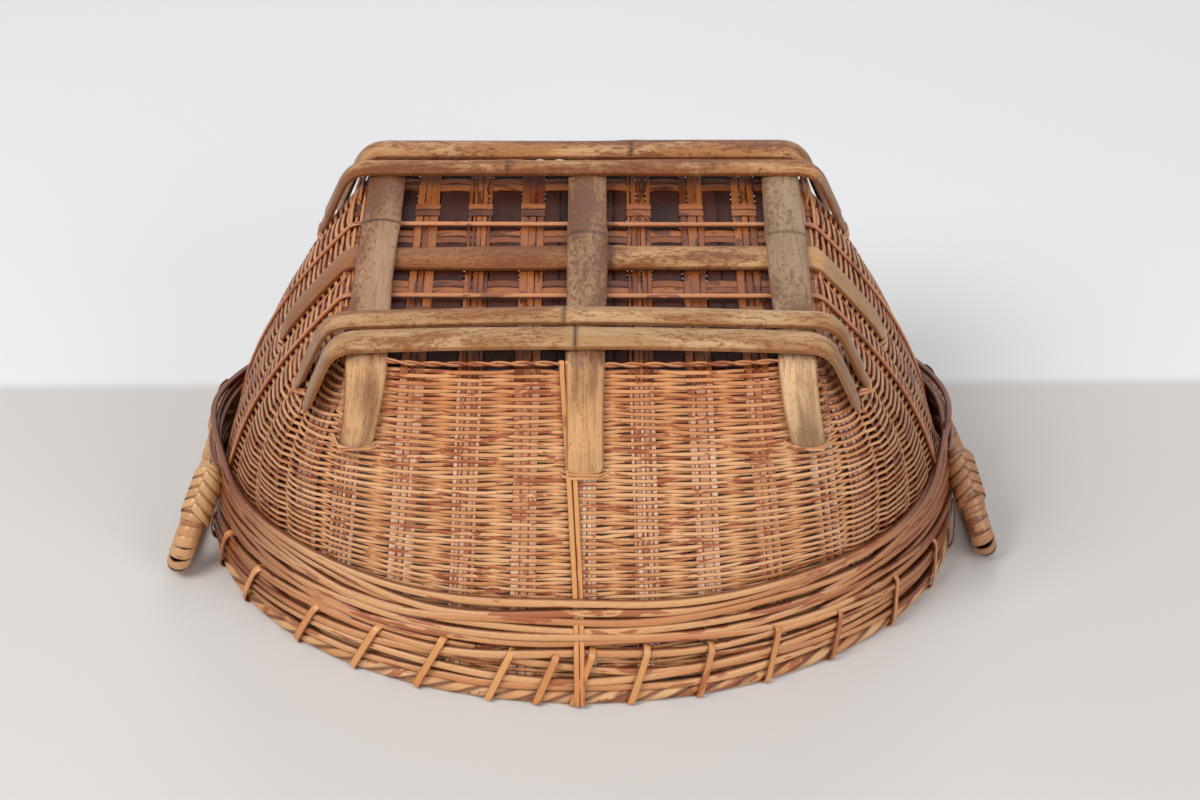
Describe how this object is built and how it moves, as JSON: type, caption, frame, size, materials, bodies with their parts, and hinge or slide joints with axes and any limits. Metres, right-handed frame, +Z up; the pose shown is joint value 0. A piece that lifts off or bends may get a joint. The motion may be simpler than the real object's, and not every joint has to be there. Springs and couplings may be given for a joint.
{
  "type": "wicker basket",
  "caption": "Oval bamboo and rattan carrying basket, stood mouth down, with a split bamboo frame over its base, a cane rim and two bound ear handles.",
  "frame": {"origin": "middle of the mouth, on the surface that the upturned basket stands on", "axes": "+X along the basket's length, +Y across it, +Z up from the mouth to the base"},
  "size_m": [0.5805, 0.4128, 0.2364],
  "materials": {
    "weft": "dry split rattan, honey tan",
    "stakes": "dry split bamboo, pale tan",
    "rim_cane": "satin rattan skin, honey tan",
    "lashing_cane": "satin rattan skin, orange tan",
    "dark_strip": "stained split bamboo, dark red brown",
    "floor_strip": "split bamboo, amber",
    "bamboo": "worn bamboo skin, straw brown",
    "handle_core": "bundled cane",
    "handle_wrap": "satin rattan skin, honey tan",
    "handle_binding": "satin rattan skin, honey tan"
  },
  "bodies": {
    "root": {"cross_bar_left": "bamboo", "cross_bar_middle": "bamboo", "cross_bar_right": "bamboo", "floor_dark_strips": "dark_strip", "floor_long_strips": "floor_strip", "floor_splint_back": "lashing_cane", "floor_splint_front": "lashing_cane", "floor_stakes": "stakes", "front_rib": "lashing_cane", "handle_left_binding_back": "handle_binding", "handle_left_binding_front": "handle_binding", "handle_left_core": "handle_core", "handle_left_wrap": "handle_wrap", "handle_right_binding_back": "handle_binding", "handle_right_binding_front": "handle_binding", "handle_right_core": "handle_core", "handle_right_wrap": "handle_wrap", "long_bar_back_inner": "bamboo", "long_bar_back_outer": "bamboo", "long_bar_front_inner": "bamboo", "long_bar_front_outer": "bamboo", "long_bar_middle": "bamboo", "rim_inner_hoop": "rim_cane", "rim_lashings": "lashing_cane", "rim_rope": "rim_cane", "rim_weaver_1": "rim_cane", "rim_weaver_2": "rim_cane", "rim_weaver_3": "rim_cane", "rim_weaver_4": "rim_cane", "rim_weaver_5": "rim_cane", "rim_weaver_6": "rim_cane", "rim_weaver_7": "rim_cane", "rim_weaver_8": "rim_cane", "rim_weaver_9": "rim_cane", "wall_stakes": "stakes", "woven_wall": "weft"}
  },
  "joints": []
}
